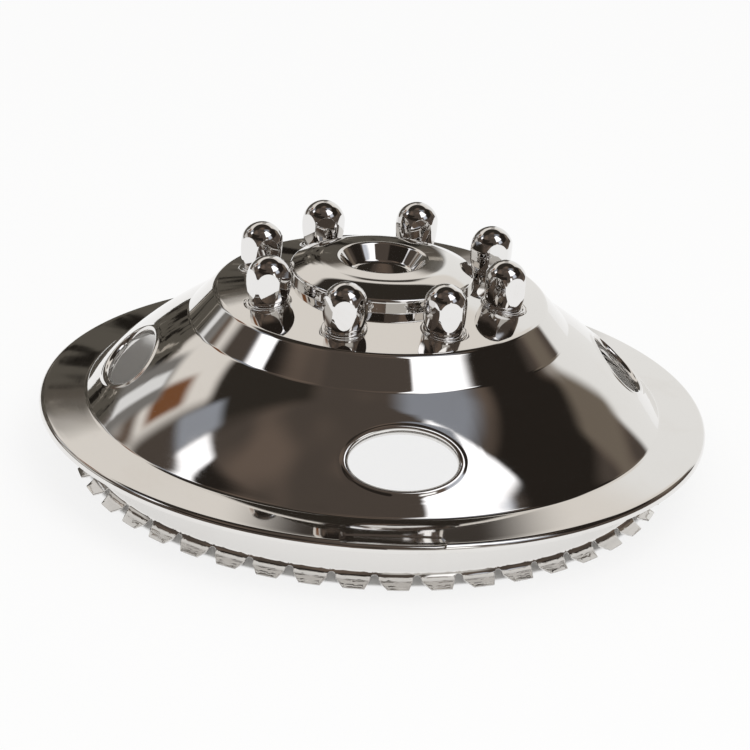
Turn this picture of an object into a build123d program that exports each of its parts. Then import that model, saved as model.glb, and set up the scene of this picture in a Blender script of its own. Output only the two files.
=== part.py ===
from build123d import *
import os
from math import atan2, cos, hypot, tan

# Snap-on wheel simulator: the polished stainless cover of an eight-lug truck front wheel.
# A pressed dish sits on a toothed spring ring, and eight drawn lug covers stand on its plate.
# The wheel's axis is Z and the outside of the wheel faces +Z. The tips of the ring's teeth
# lie on Z = 0, and a hand hole and the tool recess face -Y. Sizes are in millimetres.

# Sheet and fits
COVER_SHEET = 1.2
RING_SHEET = 1.0
LUG_SHEET = 1.0
FIT_GAP = 0.15

# Flange and turned lip of the dish
RIM_RADIUS = 220.0
RIM_HEIGHT = 42.0
FLANGE_WIDTH = 30.5
FLANGE_RISE = 3.0
LIP_BEND = 2.6
LIP_SKIRT = 1.6
FOOT_BEND = 4.0

# Bowl and shoulder
BOWL_RISE = 55.5
BOWL_BULGE = 5.6
BOWL_END_RUN = 6.5
CREASE_BEND = 8.0
SHOULDER_RUN = 16.2
SHOULDER_RISE = 18.3
CREST_BEND = 2.3

# Lug circle, and the crowned plate inside and outside it
LUG_COUNT = 8
LUG_CIRCLE = 165.1
PLATE_OUTSIDE = 25.75
PLATE_INSIDE = 22.55
PLATE_CROWN = 8.5

# Hub boss with its dimple
BOSS_WALL = 8.5
BOSS_BEND = 1.3
BOSS_ROOT_BEND = 1.5
DOME_RUN = 14.0
DOME_RISE = 6.2
DOME_CURVE = 40.0
DIMPLE_RADIUS = 28.5
DIMPLE_LIP_RISE = 1.2
DIMPLE_LIP_BEND = 1.8
DIMPLE_RUN = 8.5
DIMPLE_DEPTH = 11.2
DIMPLE_FLOOR_BEND = 4.0

# Hand holes with a rolled hem, a little below the middle of the bowl
HAND_HOLE_COUNT = 4
HAND_HOLE_SHIFT = 4.0
HAND_HOLE_LENGTH = 68.0
HAND_HOLE_WIDTH = 39.0
HEM_WIDTH = 5.0
HEM_DEPTH = 5.5
HEM_ROUND = 4.2
HEM_ROUND_SHARE = 0.9

# Tool recess in the flange, turned about the axis by degrees from the front hand hole
RECESS_TURN = -2.8
RECESS_LENGTH = 66.6
RECESS_WIDTH = 13.0
RECESS_DEPTH = 0.9
RECESS_POINT = 4.5

# Lug covers
LUG_HEIGHT = 30.7
LUG_BARREL_RADIUS = 14.4
LUG_ACROSS_FLATS = 25.0
LUG_DOME_HEIGHT = 14.8
LUG_CROWN_RADIUS = 13.4
LUG_NECK_RADIUS = 12.0
LUG_NECK_HEIGHT = 1.2
COLLAR_RADIUS = 14.3
COLLAR_HEIGHT = 0.9
LUG_FOOT_RADIUS = 18.5
LUG_TURNS = (16, 28, 41, 7, 2, 15, 47, 16)

# Toothed spring ring
RING_INSET = 3.0
RING_FLANGE_WIDTH = 17.5
RING_FLANGE_BEND = 2.0
FIN_REACH = 9.5
FIN_DROP = 3.2
FIN_BEND = 7.0
TOOTH_COUNT = 45
GULLET_ROOT = 5.6
GULLET_MOUTH = 14.4
GULLET_HEIGHT = 6.2
GULLET_FLARE_START = 3.0
GULLET_LEAN = 0.35

# Room that a cutting shape takes past the faces it cuts
OVERCUT = 5.0

# Corners of the dish's top surface, as radius and height, from the axis out to the lip
RIM = (RIM_RADIUS, RIM_HEIGHT)
FOOT = (RIM_RADIUS - FLANGE_WIDTH, RIM_HEIGHT + FLANGE_RISE)
CREST_RADIUS = LUG_CIRCLE / 2 + PLATE_OUTSIDE
CREASE = (CREST_RADIUS + SHOULDER_RUN, FOOT[1] + BOWL_RISE)
CREST = (CREST_RADIUS, CREASE[1] + SHOULDER_RISE)
BOSS_RADIUS = LUG_CIRCLE / 2 - PLATE_INSIDE
BOSS_ROOT = (BOSS_RADIUS, CREST[1] + PLATE_CROWN)
BOSS_TOP = (BOSS_RADIUS, BOSS_ROOT[1] + BOSS_WALL)
DOME_KNEE = (BOSS_RADIUS - DOME_RUN, BOSS_TOP[1] + DOME_RISE)
DIMPLE_LIP = (DIMPLE_RADIUS, DOME_KNEE[1] + DIMPLE_LIP_RISE)
DIMPLE_FLOOR = (DIMPLE_RADIUS - DIMPLE_RUN, DIMPLE_LIP[1] - DIMPLE_DEPTH)
DIMPLE_CENTRE = (0.0, DIMPLE_FLOOR[1])

# Slopes of the flange and the plate, and the ring's radii under the flange
FLANGE_SLOPE = atan2(FLANGE_RISE, FLANGE_WIDTH)
PLATE_SLOPE = atan2(PLATE_CROWN, PLATE_INSIDE + PLATE_OUTSIDE)
BAND_RADIUS = FOOT[0] - RING_INSET
TIP_RADIUS = BAND_RADIUS + FIN_REACH


def bowl_knee():
    """The corner between the bowl's two tangents, which stands out from its chord."""
    run, drop = FOOT[0] - CREASE[0], CREASE[1] - FOOT[1]
    chord = hypot(run, drop)
    middle = ((FOOT[0] + CREASE[0]) / 2, (FOOT[1] + CREASE[1]) / 2)
    return (middle[0] + BOWL_BULGE * drop / chord, middle[1] + BOWL_BULGE * run / chord)


def bowl_radius():
    """The radius that curves the bowl between the straight runs at its two ends."""
    half_chord = hypot(FOOT[0] - CREASE[0], CREASE[1] - FOOT[1]) / 2
    half_turn = atan2(BOWL_BULGE, half_chord)
    return (hypot(half_chord, BOWL_BULGE) - BOWL_END_RUN) / tan(half_turn)


def lip_end():
    """The lower end of the turned lip, below its bend."""
    half_turn = (atan2(1, 0) - FLANGE_SLOPE) / 2
    return (RIM[0], RIM[1] - (LIP_BEND + COVER_SHEET) * tan(half_turn) - LIP_SKIRT)


def dish_path():
    """The dish's top surface in section. Bends are inside radii, so outer corners add the sheet."""
    corners = [
        (DIMPLE_CENTRE, 0),
        (DIMPLE_FLOOR, DIMPLE_FLOOR_BEND),
        (DIMPLE_LIP, DIMPLE_LIP_BEND + COVER_SHEET),
        (DOME_KNEE, DOME_CURVE),
        (BOSS_TOP, BOSS_BEND + COVER_SHEET),
        (BOSS_ROOT, BOSS_ROOT_BEND),
        (CREST, CREST_BEND + COVER_SHEET),
        (CREASE, CREASE_BEND),
        (bowl_knee(), bowl_radius()),
        (FOOT, FOOT_BEND),
        (RIM, LIP_BEND + COVER_SHEET),
        (lip_end(), 0),
    ]
    points = [point for point, bend in corners]
    bends = [bend for point, bend in corners[1:-1]]
    return FilletPolyline(*points, radius=bends)


def sheet_of_revolution(path, sheet):
    """Spin a sheet whose one face follows the path, with its thickness on the path's right."""
    section = make_face(path.offset_2d(sheet, side=Side.RIGHT).edges())
    return revolve(Plane.XZ * section, Axis.Z)


def bowl_frame():
    """A plane on the bowl at the front hand hole, with its normal along the bowl's own."""
    arcs = dish_path().edges().filter_by(GeomType.CIRCLE)
    arc = arcs.sort_by(lambda edge: edge.radius)[-1]
    share = 0.5 + HAND_HOLE_SHIFT / arc.length
    point = arc.position_at(share)
    normal = point - arc.arc_center
    return Plane((0, -point.X, point.Y), x_dir=(1, 0, 0), z_dir=(0, -normal.X, normal.Y))


def oval_prism(frame, margin, reach):
    """An oval bar through the front hand hole, wider than the hole by the margin all round."""
    oval = Ellipse(HAND_HOLE_LENGTH / 2 + margin, HAND_HOLE_WIDTH / 2 + margin)
    return extrude(frame * oval, reach, both=True)


def hand_hole_hem(frame):
    """The rolled hem of the front hand hole, flush with the bowl outside and rounded inward."""
    reach = HAND_HOLE_LENGTH / 2
    bowl = FilletPolyline(CREASE, bowl_knee(), FOOT, radius=[bowl_radius()])
    block = sheet_of_revolution(bowl, HEM_DEPTH) & oval_prism(frame, HEM_WIDTH, reach)
    hem = block - oval_prism(frame, 0, reach)
    rings = hem.faces().filter_by(lambda face: len(face.inner_wires()) == 1)
    outside = rings.sort_by(Axis(frame.origin, frame.z_dir))[-1]
    mouth = outside.inner_wires()[0].edges()
    return fillet(mouth, min(HEM_ROUND, HEM_ROUND_SHARE * HEM_WIDTH, HEM_ROUND_SHARE * HEM_DEPTH))


def tool_recess():
    """The pad and the pocket that together press a pointed recess into the flange's edge."""
    inner = RIM_RADIUS - RECESS_WIDTH
    half = RECESS_LENGTH / 2
    middle = RIM_RADIUS - RECESS_WIDTH / 2
    outline = Polyline(
        (-half + RECESS_POINT, -inner),
        (half - RECESS_POINT, -inner),
        (half, -middle),
        (half - RECESS_POINT, -RIM_RADIUS),
        (half - RECESS_POINT, -RIM_RADIUS - OVERCUT),
        (-half + RECESS_POINT, -RIM_RADIUS - OVERCUT),
        (-half + RECESS_POINT, -RIM_RADIUS),
        (-half, -middle),
        close=True,
    )
    floor = RIM_HEIGHT - RECESS_DEPTH
    plan = make_face(outline)
    pocket = extrude(Pos(0, 0, floor) * plan, RECESS_DEPTH + FLANGE_RISE + OVERCUT)
    wall = offset(plan, COVER_SHEET, kind=Kind.INTERSECTION)
    pad = extrude(Pos(0, 0, floor - COVER_SHEET) * wall, RECESS_DEPTH + FLANGE_RISE + OVERCUT)
    low = lip_end()[1]
    top = FilletPolyline(FOOT, RIM, lip_end(), radius=[LIP_BEND + COVER_SHEET])
    below = make_face(top.edges() + Polyline(lip_end(), (FOOT[0], low), FOOT).edges())
    turn = Rot(0, 0, RECESS_TURN)
    return turn * (pad & revolve(Plane.XZ * below, Axis.Z)), turn * pocket


def wheel_cover():
    """The pressed dish: dimpled boss, crowned plate, bowl, flange and turned lip in one sheet."""
    cover = Rot(0, 0, 180 / LUG_COUNT / 2) * sheet_of_revolution(dish_path(), COVER_SHEET)
    pad, pocket = tool_recess()
    cover = cover + pad - pocket
    frame = bowl_frame()
    hem = hand_hole_hem(frame)
    bar = oval_prism(frame, HEM_WIDTH, HAND_HOLE_LENGTH / 2)
    turns = [Rot(0, 0, 360 / HAND_HOLE_COUNT * index) for index in range(HAND_HOLE_COUNT)]
    cover = cover - [turn * bar for turn in turns]
    cover = cover + [turn * hem for turn in turns]
    bore = Pos(LUG_CIRCLE / 2, 0, CREST[1]) * Cylinder(COLLAR_RADIUS + FIT_GAP, 2 * LUG_HEIGHT)
    return cover - [Rot(0, 0, lug_angle(index)) * bore for index in range(LUG_COUNT)]


def lug_angle(index):
    """Lug covers stand evenly between the hand holes."""
    return 360 / LUG_COUNT * (index + 0.5)


def plate_height(radius):
    """Height of the plate's top surface."""
    return CREST[1] + (CREST_RADIUS - radius) * tan(PLATE_SLOPE)


def plate_layer(upper, lower):
    """The layer between two depths under the plate's top surface, where the lug covers stand."""
    inner = LUG_CIRCLE / 2 - LUG_FOOT_RADIUS - OVERCUT
    outer = LUG_CIRCLE / 2 + LUG_FOOT_RADIUS + OVERCUT
    down = 1 / cos(PLATE_SLOPE)
    outline = Polyline(
        (inner, plate_height(inner) - upper * down),
        (outer, plate_height(outer) - upper * down),
        (outer, plate_height(outer) - lower * down),
        (inner, plate_height(inner) - lower * down),
        close=True,
    )
    return Rot(0, 0, 180) * revolve(Plane.XZ * make_face(outline), Axis.Z)


def lug_bullet(inset, seat):
    """The hex dome on its neck, or its hollow when it is inset by the sheet."""
    barrel = LUG_BARREL_RADIUS - inset
    crown = LUG_CROWN_RADIUS - inset
    lift = LUG_DOME_HEIGHT - LUG_CROWN_RADIUS
    waist = (barrel, seat + LUG_HEIGHT - LUG_DOME_HEIGHT)
    base = (LUG_NECK_RADIUS - inset, seat + LUG_NECK_HEIGHT)
    foot = (base[0], seat - LUG_NECK_RADIUS * tan(PLATE_SLOPE))
    apex = (0, waist[1] + lift + crown)
    flank = (barrel**2 + lift**2 - crown**2) / (2 * (barrel - crown))
    knuckle_run = crown * (flank - barrel) / (flank - crown)
    knuckle_rise = crown * lift / (flank - crown)
    knuckle = (knuckle_run, waist[1] + lift + knuckle_rise)
    outline = [
        TangentArc(waist, base, tangent=(0, -1)),
        TangentArc(waist, knuckle, tangent=(0, 1)),
        TangentArc(apex, knuckle, tangent=(1, 0)),
        Line(apex, (0, foot[1])),
        Line((0, foot[1]), foot),
        Line(foot, base),
    ]
    bullet = revolve(Plane.XZ * make_face(outline), Axis.Z)
    hexagon = RegularPolygon(LUG_ACROSS_FLATS / 2 - inset, 6, major_radius=False)
    return bullet & extrude(Pos(0, 0, foot[1]) * hexagon, 2 * LUG_HEIGHT)


def lug_cover(turn):
    """One drawn lug cover on the X axis: hex dome, collar and a foot behind the plate."""
    seat = plate_height(LUG_CIRCLE / 2)
    behind = COVER_SHEET + FIT_GAP
    depth = behind + LUG_SHEET
    place = Pos(LUG_CIRCLE / 2, 0, 0)
    bar = Pos(0, 0, seat) * Cylinder(COLLAR_RADIUS, 2 * LUG_HEIGHT)
    disc = Pos(0, 0, seat) * Cylinder(LUG_FOOT_RADIUS, 2 * LUG_HEIGHT)
    bore = Cylinder(LUG_NECK_RADIUS - LUG_SHEET, LUG_HEIGHT)
    bore = Pos(0, 0, seat + LUG_NECK_HEIGHT - LUG_HEIGHT / 2) * bore
    dome = place * Rot(0, 0, turn) * lug_bullet(0, seat)
    cavity = place * Rot(0, 0, turn) * lug_bullet(LUG_SHEET, seat)
    collar = place * bar & plate_layer(-COLLAR_HEIGHT, depth)
    foot = place * disc & plate_layer(behind, depth)
    return dome + collar + foot - place * bore - cavity


def spring_ring():
    """The C-section ring under the flange, with its lower edge cut into outward teeth."""
    flange_depth = (COVER_SHEET + FIT_GAP + RING_SHEET) / cos(FLANGE_SLOPE)
    fin_slope = atan2(FIN_DROP, TIP_RADIUS - BAND_RADIUS)
    tip = (TIP_RADIUS, RING_SHEET * cos(fin_slope))
    flange_radius = BAND_RADIUS + RING_FLANGE_WIDTH
    section = FilletPolyline(
        (flange_radius, flange_height(flange_radius) - flange_depth),
        (BAND_RADIUS, flange_height(BAND_RADIUS) - flange_depth),
        (BAND_RADIUS, tip[1] + FIN_DROP),
        tip,
        radius=[RING_FLANGE_BEND, FIN_BEND],
    )
    ring = sheet_of_revolution(section, RING_SHEET)
    gullet = tooth_gullet()
    return ring - [Rot(0, 0, 360 / TOOTH_COUNT * index) * gullet for index in range(TOOTH_COUNT)]


def flange_height(radius):
    """Height of the flange's top surface, carried on inwards past the bowl's foot."""
    return RIM_HEIGHT + (RIM_RADIUS - radius) * tan(FLANGE_SLOPE)


def tooth_gullet():
    """The gap between two teeth: a round top and a leaning mouth that widens to the tips."""
    near = BAND_RADIUS - RING_SHEET - OVERCUT
    far = TIP_RADIUS + OVERCUT
    flare_radius = BAND_RADIUS + GULLET_FLARE_START
    flare = (GULLET_MOUTH - GULLET_ROOT) * (far - flare_radius) / (TIP_RADIUS - flare_radius)
    round_radius = GULLET_ROOT / 2
    round_height = GULLET_HEIGHT - round_radius
    plan = make_face(
        Polyline(
            (near, 0),
            (flare_radius, 0),
            (far, -flare * GULLET_LEAN),
            (far, GULLET_ROOT + flare * (1 - GULLET_LEAN)),
            (flare_radius, GULLET_ROOT),
            (near, GULLET_ROOT),
            close=True,
        )
    )
    bar = extrude(Pos(0, 0, -OVERCUT) * plan, OVERCUT + round_height)
    crown = Plane(origin=(near, round_radius, round_height), z_dir=(1, 0, 0)) * Circle(round_radius)
    return bar + extrude(crown, TIP_RADIUS - near)


def main():
    """Write each piece to its own file."""
    os.makedirs("parts", exist_ok=True)
    export_step(wheel_cover(), "parts/wheel_cover.step")
    export_step(spring_ring(), "parts/spring_ring.step")
    for index, turn in enumerate(LUG_TURNS):
        lug = Rot(0, 0, lug_angle(index)) * lug_cover(turn)
        export_step(lug, f"parts/lug_cover_{index + 1}.step")


main()
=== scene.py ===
"""Looks of a mirror-polished truck wheel simulator, built around its packed CAD frame.

The dish, the eight lug covers and the toothed spring ring are remodelled as clean, smooth sheet
metal with procedural polish, and stand on a pale floor in a soft studio.
"""

from math import asin, atan2, cos, hypot, pi, radians, sin, tan

import bmesh
import bpy
import numpy as np
from bpy.props import FloatProperty, FloatVectorProperty, IntProperty, PointerProperty
from mathutils import Matrix, Vector
from mathutils.bvhtree import BVHTree


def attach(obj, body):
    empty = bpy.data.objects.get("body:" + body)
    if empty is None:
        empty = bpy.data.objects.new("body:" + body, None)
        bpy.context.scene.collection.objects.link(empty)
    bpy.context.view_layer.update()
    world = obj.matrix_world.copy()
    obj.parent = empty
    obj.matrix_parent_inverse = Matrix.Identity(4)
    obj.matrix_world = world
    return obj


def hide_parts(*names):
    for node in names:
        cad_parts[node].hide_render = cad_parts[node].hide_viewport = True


bl_info = {
    "name": "Wheel Simulator Looks",
    "version": (1, 0, 0),
    "blender": (4, 5, 0),
    "location": "3D View > Sidebar > Wheel",
    "description": "Models the polished dish, lug covers and spring ring of a wheel simulator",
    "category": "Object",
}

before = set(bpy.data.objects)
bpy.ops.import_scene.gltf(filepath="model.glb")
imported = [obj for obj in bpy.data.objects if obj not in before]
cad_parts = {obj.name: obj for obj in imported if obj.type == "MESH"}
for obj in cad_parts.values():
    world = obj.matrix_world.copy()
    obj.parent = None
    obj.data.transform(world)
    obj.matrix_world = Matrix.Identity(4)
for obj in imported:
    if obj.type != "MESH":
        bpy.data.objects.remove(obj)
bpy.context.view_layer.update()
BODY = "root"
MM = 0.001
MERGE = 1e-6
SMOOTH_LIMIT = radians(32)


def length(name, description, millimetres):
    """A size in millimetres, stored in metres."""
    return FloatProperty(
        name=name, description=description, default=millimetres * MM, unit="LENGTH", precision=5
    )


def colour(name, description, value):
    """A linear colour."""
    return FloatVectorProperty(name=name, description=description, default=value, size=3, subtype="COLOR")


class CoverSizes(bpy.types.PropertyGroup):
    """Sizes of the pressed dish."""

    sheet: length("Sheet", "Thickness of the pressed sheet", 1.2)
    rim_radius: length("Rim radius", "Outside of the turned lip", 220.0)
    rim_height: length("Rim height", "Flange top at the lip, above the tooth tips", 42.0)
    flange_width: length("Flange width", "From the bowl's foot to the lip", 30.5)
    flange_rise: length("Flange rise", "Rise of the flange towards the bowl", 3.0)
    lip_bend: length("Lip bend", "Outer radius of the turned lip", 3.8)
    lip_skirt: length("Lip skirt", "Straight edge below the lip's bend", 1.6)
    foot_bend: length("Foot bend", "Radius between the flange and the bowl", 4.0)
    bowl_rise: length("Bowl rise", "Height of the bowl's crease above its foot", 55.5)
    bowl_bulge: length("Bowl bulge", "How far the bowl's knee stands out of its chord", 5.6)
    bowl_end_run: length("Bowl end run", "Straight run at each end of the bowl", 6.5)
    crease_bend: length("Crease bend", "Radius between the bowl and the shoulder", 8.0)
    shoulder_run: length("Shoulder run", "Radial run of the shoulder", 16.2)
    shoulder_rise: length("Shoulder rise", "Height of the shoulder", 18.3)
    crest_bend: length("Crest bend", "Outer radius at the plate's edge", 6.0)
    plate_outside: length("Plate outside", "Plate beyond the lug circle", 25.75)
    plate_inside: length("Plate inside", "Plate within the lug circle", 22.55)
    plate_crown: length("Plate crown", "Rise of the plate towards the boss", 8.5)
    boss_wall: length("Boss wall", "Height of the boss's wall", 8.5)
    boss_bend: length("Boss bend", "Outer radius at the top of the boss's wall", 2.5)
    boss_root_bend: length("Boss root bend", "Radius at the boss's root", 0.4)
    dome_run: length("Dome run", "Radial run of the boss's outer slope", 14.0)
    dome_rise: length("Dome rise", "Rise of the boss's outer slope", 6.2)
    dome_curve: length("Dome curve", "Radius over the boss", 40.0)
    dimple_radius: length("Dimple radius", "Radius of the dimple's lip", 28.5)
    dimple_lip_rise: length("Dimple lip rise", "Rise of the boss towards the dimple", 1.2)
    dimple_lip_bend: length("Dimple lip bend", "Outer radius of the dimple's lip", 3.0)
    dimple_run: length("Dimple run", "Radial run of the dimple's wall", 8.5)
    dimple_depth: length("Dimple depth", "Depth of the dimple", 11.2)
    dimple_floor_bend: length("Dimple floor bend", "Radius at the dimple's floor", 4.0)
    hole_length: length("Hand hole length", "Opening along the rim", 68.0)
    hole_width: length("Hand hole width", "Opening up the bowl", 39.0)
    hole_shift: length("Hand hole shift", "Below the middle of the bowl", 4.0)
    hem_width: length("Hem width", "Width of the bowl that the hem takes up", 6.0)
    hem_depth: length("Hem depth", "Depth of the rolled hem", 5.5)
    recess_turn: FloatProperty(
        name="Recess turn", description="Turn of the tool recess from the front hand hole",
        default=radians(-2.8), unit="ROTATION",
    )
    recess_length: length("Recess length", "Tool recess along the rim", 66.6)
    recess_width: length("Recess width", "Tool recess across the flange", 13.0)
    recess_depth: length("Recess depth", "Depth of the tool recess", 0.9)
    recess_point: length("Recess point", "Length of the recess's pointed ends", 4.5)


class LugSizes(bpy.types.PropertyGroup):
    """Sizes of the lug covers."""

    count: IntProperty(name="Lugs", description="Lug covers round the plate", default=8)
    circle: length("Lug circle", "Diameter of the circle that the lug covers stand on", 165.1)
    height: length("Lug height", "Top of a lug cover above the plate", 30.7)
    barrel: length("Barrel radius", "Widest radius of the dome", 14.4)
    flats: length("Across flats", "Distance between opposite flats", 25.2)
    flat_bulge: length("Flat bulge", "How far a flat is domed in its middle", 0.4)
    dome: length("Dome height", "Height of the domed part", 14.8)
    crown: length("Crown radius", "Radius at the very top", 13.4)
    neck: length("Neck radius", "Radius of the neck over the collar", 12.0)
    neck_height: length("Neck height", "Height of the neck above the plate", 1.2)
    collar: length("Collar radius", "Radius of the collar", 14.3)
    collar_height: length("Collar height", "Height of the collar's lip above the plate", 0.9)
    foot: length("Foot radius", "Flange behind the plate", 18.5)
    sheet: length("Lug sheet", "Thickness of the drawn sheet", 1.0)
    gap: length("Fit gap", "Clearance in the plate's holes", 0.15)


class RingSizes(bpy.types.PropertyGroup):
    """Sizes of the toothed spring ring."""

    sheet: length("Ring sheet", "Thickness of the ring's strip", 1.0)
    band_radius: length("Band radius", "Outside of the ring's band", 186.5)
    flange_radius: length("Ring flange", "Outer edge of the top flange", 204.0)
    flange_bend: length("Ring flange bend", "Radius under the top flange", 2.0)
    tip_radius: length("Tooth tips", "Radius of the tooth tips", 196.0)
    fin_drop: length("Fin drop", "Fall of the teeth from the band to the tips", 3.2)
    fin_bend: length("Fin bend", "Radius where the teeth turn out", 7.0)
    teeth: IntProperty(name="Teeth", description="Teeth round the ring", default=45)
    gullet_root: length("Gullet root", "Gap between teeth at the band", 5.6)
    gullet_mouth: length("Gullet mouth", "Gap between teeth at the tips", 14.4)
    gullet_height: length("Gullet height", "Top of the gap above the tips", 6.2)
    flare_start: length("Flare start", "Where the gap starts to widen, out from the band", 3.0)
    lean: FloatProperty(name="Lean", description="Share of the flare on the gap's near side", default=0.35)


class FinishColours(bpy.types.PropertyGroup):
    """Colours of the steel and the stage."""

    cover: colour("Cover steel", "Polished sheet of the dish", (0.80, 0.785, 0.765))
    lug: colour("Lug steel", "Polished drawn lug covers", (0.82, 0.81, 0.80))
    ring: colour("Ring steel", "Bright rolled strip of the ring", (0.78, 0.765, 0.745))
    floor: colour("Floor", "Pale studio floor", (0.93, 0.925, 0.915))
    room: colour("Room", "Dark room and ceiling", (0.14, 0.105, 0.083))


class CameraSettings(bpy.types.PropertyGroup):
    """The photograph's standpoint."""

    lens: FloatProperty(name="Lens", description="Focal length", default=0.144, unit="CAMERA")
    roll: FloatProperty(
        name="Roll", description="Turn about the view axis", default=radians(3.8), unit="ROTATION"
    )


GROUPS = {
    "wheel_cover_sizes": CoverSizes,
    "wheel_lug_sizes": LugSizes,
    "wheel_ring_sizes": RingSizes,
    "wheel_colours": FinishColours,
    "wheel_camera": CameraSettings,
}

LUG_TURNS = (16, 28, 41, 7, 2, 15, 47, 16)
COVER_STEPS = 192
COVER_RUN = 3.6 * MM
LUG_STEPS = 120
RING_RUN = 8 * MM
TOOTH_STEPS = 16
GULLET_STEPS = 6
FLAT_RINGS = 6
WEB_CUTS = 5

# Half length, reach inwards and reach outwards of the window of faces that each opening replaces
HAND_HOLE_WINDOW = (53 * MM, 25 * MM, 22 * MM)
LUG_HOLE_WINDOW = (20 * MM, 19 * MM, 19 * MM)

RECESS_EDGE = 0.9 * MM
RECESS_MARGIN = 6 * MM
FLAT_EDGE = 0.3 * MM
FLAT_MIDDLE = 0.42
COLLAR_BEND = 0.6 * MM

# The hem's curve from the bowl over a low bead and into the hole, as shares of its width and depth
HEM_CURVE = (
    (1.0, 0.0), (0.88, -0.015), (0.76, -0.05), (0.62, -0.09), (0.48, -0.1), (0.35, -0.06), (0.23, 0.03),
    (0.13, 0.15), (0.05, 0.3), (0.0, 0.5), (0.0, 1.0),
)
ON_SECTION = 0.12 * MM
SAME_WAY = cos(radians(60))

STANDPOINT = (-0.2393148, -1.8121555, 0.821184)
AIM = (0.0, 0.0, 0.060)
FLOOR_SIZE = 8
FLOOR_GLOW = 0.8
AMBIENT = (0.8, 0.8, 0.8)

# The ring of floor under the teeth that doesn't glow, as distances in from their tips. This is painted
# shade: with the glow withheld, the floor there shows darker than the rest, where the teeth and the dish
# shade it.
SHADE_OUTSIDE = (9 * MM, 5 * MM)
SHADE_INSIDE = (40 * MM, 50 * MM)

KEY_PLACE = (0.6, -1.0, 2.2)
KEY_POWER = 14
KEY_SIZE = 1.6

# What stands round the object: a linear colour, and the bands of direction that it fills, each with
# its two ends and the softness of its edges in degrees. Azimuth 0 is +Y, behind, and 90 is +X.
BAND_SLANT = 0.171
BACK_LOW = (("rough_azimuth", -42, 14, 2), ("rough_elevation", -20, 25, 2))
STUDIO = (
    ((0.075, 0.06, 0.05), ("drift", 0.47, 2, 0.10)),
    ((0.26, 0.275, 0.31), ("azimuth", 72, 108, 5), ("elevation", 62, 83, 4)),
    ((0.03, 0.025, 0.02), ("azimuth", -75, 65, 6), ("elevation", 45, 74, 3)),
    ((0.80, 0.76, 0.71), ("azimuth", -60, 50, 4), ("elevation", 25, 45.5, 2)),
    ((0.05, 0.042, 0.036), ("azimuth", 3, 14.5, 2), ("elevation", 31, 38.5, 1.5)),
    ((0.10, 0.09, 0.075), *BACK_LOW),
    ((0.012, 0.010, 0.008), *BACK_LOW, ("speckle", 0.56, 2, 0.03)),
    ((0.42, 0.38, 0.33), *BACK_LOW, ("speckle", -1, 0.38, 0.03)),
    ((0.89, 0.885, 0.87), ("azimuth", 13, 52, 2), ("elevation", -20, 30, 2)),
    ((0.02, 0.016, 0.013), ("azimuth", 52, 110, 4), ("elevation", 28, 57, 3)),
    ((0.17, 0.14, 0.11), ("azimuth", 48, 68, 3), ("elevation", 17, 32, 3)),
    ((0.62, 0.65, 0.72), ("azimuth", 115, 140, 3), ("elevation", 34, 50, 3)),
    ((1.3, 1.3, 1.3), ("azimuth", 149, 161, 1.5), ("elevation", 18, 38, 2)),
    ((0.55, 0.53, 0.50), ("azimuth", 140, 190, 6), ("elevation", -5, 16, 4)),
    ((1.5, 1.5, 1.54), ("azimuth", 105, 155, 2), ("elevation", 48, 75, 2)),
    ((0.02, 0.016, 0.013), ("azimuth", -150, -80, 4), ("slant", 22, 31, 2)),
    ((1.5, 1.5, 1.54), ("azimuth", -88, -75, 1.5), ("elevation", 38, 47, 1.5)),
    ((0.30, 0.32, 0.36), ("azimuth", -75, -62, 2), ("elevation", 38, 50, 2)),
    ((0.19, 0.08, 0.035), ("azimuth", -57, -46, 2), ("elevation", 28, 38, 2)),
    ((0.20, 0.19, 0.18), ("azimuth", -50, -35, 2), ("elevation", 15, 30, 2)),
    ((0.80, 0.80, 0.80), ("azimuth", -45, -40, 1), ("elevation", 16, 29, 1)),
    ((0.02, 0.016, 0.013), ("azimuth", -190, -100, 4), ("elevation", 30, 45, 3)),
    ((0.60, 0.58, 0.55), ("azimuth", -80, -50, 3), ("elevation", 5, 20, 3)),
)

DISH_POLISH = {
    "rings": 900.0,
    "waves": 22.0,
    "marks": 12.0,
    "dull": (0.97, 0.96, 0.95),
    "gloss": (0.022, 0.05),
    "haze": 0.05,
    "dust": 0.12,
    "wave_depth": 3e-5,
    "ring_depth": 1.5e-6,
}
LUG_POLISH = DISH_POLISH | {"rings": 1500.0, "waves": 60.0, "marks": 30.0, "wave_depth": 2e-5}
RING_POLISH = DISH_POLISH | {
    "rings": 500.0, "waves": 30.0, "gloss": (0.05, 0.10), "wave_depth": 1.5e-5, "ring_depth": 5e-7,
}


# Mesh helpers


def new_verts(result, key="geom"):
    """The vertices that a bmesh operator made."""
    return [item for item in result[key] if isinstance(item, bmesh.types.BMVert)]


def new_edges(result, key="geom"):
    """The edges that a bmesh operator made."""
    return [item for item in result[key] if isinstance(item, bmesh.types.BMEdge)]


def with_parts(faces):
    """Faces with their edges and vertices, as a cut needs them."""
    edges = {edge for face in faces for edge in face.edges}
    verts = {vert for face in faces for vert in face.verts}
    return faces + list(edges) + list(verts)


def draw_to(bm, tip, point):
    """Lengthen a section's chain to a point and return its new end."""
    end = bmesh.ops.extrude_vert_indiv(bm, verts=[tip])["verts"][0]
    bmesh.ops.translate(bm, verts=[end], vec=point - end.co)
    return end


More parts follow.
